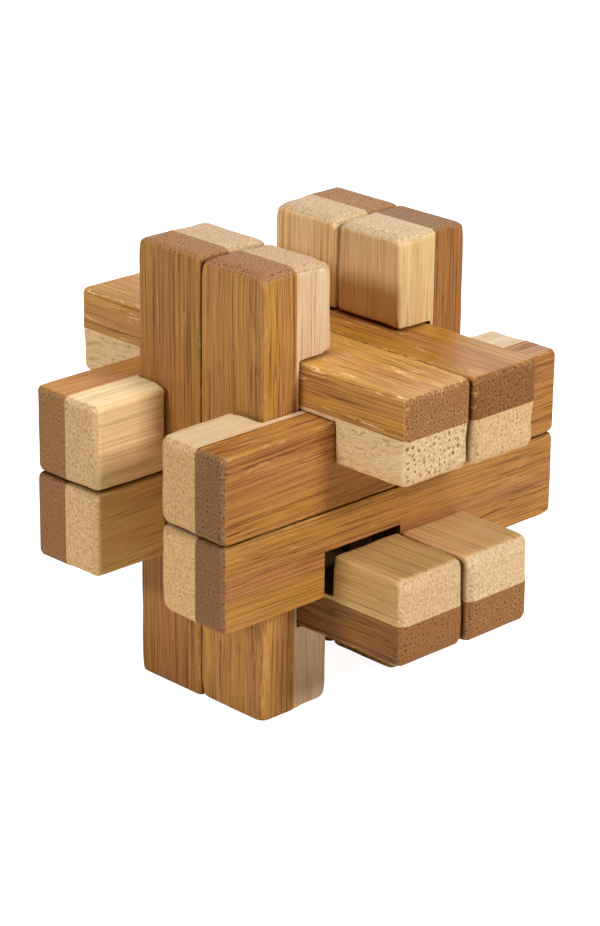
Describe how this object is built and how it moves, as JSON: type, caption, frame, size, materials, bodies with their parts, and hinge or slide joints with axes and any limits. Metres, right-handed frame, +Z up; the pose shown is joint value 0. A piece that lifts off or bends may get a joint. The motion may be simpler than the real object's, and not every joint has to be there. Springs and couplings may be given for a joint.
{
  "type": "wooden burr puzzle",
  "caption": "Interlocking burr puzzle of notched square sticks in crossing pairs, each laminated of light and dark bamboo; a key pair slides out to open it",
  "frame": {"origin": "centre of the puzzle", "axes": "+Z up, the puzzle stands on the lower ends of the four uprights; X runs along the crosswise sticks, left to right; Y runs along the lengthwise sticks, front to back"},
  "size_m": [0.0634, 0.0634, 0.063],
  "materials": {
    "light_bamboo": "satin",
    "dark_bamboo": "satin"
  },
  "bodies": {
    "interlocked_sticks": {"upright_front_left_light": "light_bamboo", "upright_front_left_dark": "dark_bamboo", "upright_front_right_light": "light_bamboo", "upright_front_right_dark": "dark_bamboo", "upright_back_left_light": "light_bamboo", "upright_back_left_dark": "dark_bamboo", "upright_back_right_light": "light_bamboo", "upright_back_right_dark": "dark_bamboo", "lengthwise_upper_left_light": "light_bamboo", "lengthwise_upper_left_dark": "dark_bamboo", "lengthwise_upper_right_light": "light_bamboo", "lengthwise_upper_right_dark": "dark_bamboo", "crosswise_upper_front_light": "light_bamboo", "crosswise_upper_front_dark": "dark_bamboo", "crosswise_upper_back_light": "light_bamboo", "crosswise_upper_back_dark": "dark_bamboo"},
    "right_key": {"lengthwise_lower_right_light": "light_bamboo", "lengthwise_lower_right_dark": "dark_bamboo"},
    "right_key_partner": {"crosswise_lower_back_light": "light_bamboo", "crosswise_lower_back_dark": "dark_bamboo"},
    "left_key": {"lengthwise_lower_left_light": "light_bamboo", "lengthwise_lower_left_dark": "dark_bamboo"},
    "left_key_partner": {"crosswise_lower_front_light": "light_bamboo", "crosswise_lower_front_dark": "dark_bamboo"}
  },
  "joints": [
    {"name": "right_partner_slide", "type": "slide", "parent": "interlocked_sticks", "child": "right_key_partner", "axis": [1, 0, 0], "range_m": [0, 0.043]},
    {"name": "right_key_slide", "type": "slide", "parent": "interlocked_sticks", "child": "right_key", "axis": [1, 0, 0], "range_m": [0, 0.043]},
    {"name": "left_partner_slide", "type": "slide", "parent": "interlocked_sticks", "child": "left_key_partner", "axis": [-1, 0, 0], "range_m": [0, 0.043]},
    {"name": "left_key_slide", "type": "slide", "parent": "interlocked_sticks", "child": "left_key", "axis": [-1, 0, 0], "range_m": [0, 0.043]}
  ],
  "couplings": [
    {"joint": "right_key_slide", "follows": "right_partner_slide", "ratio": 1},
    {"joint": "left_key_slide", "follows": "left_partner_slide", "ratio": 1}
  ]
}
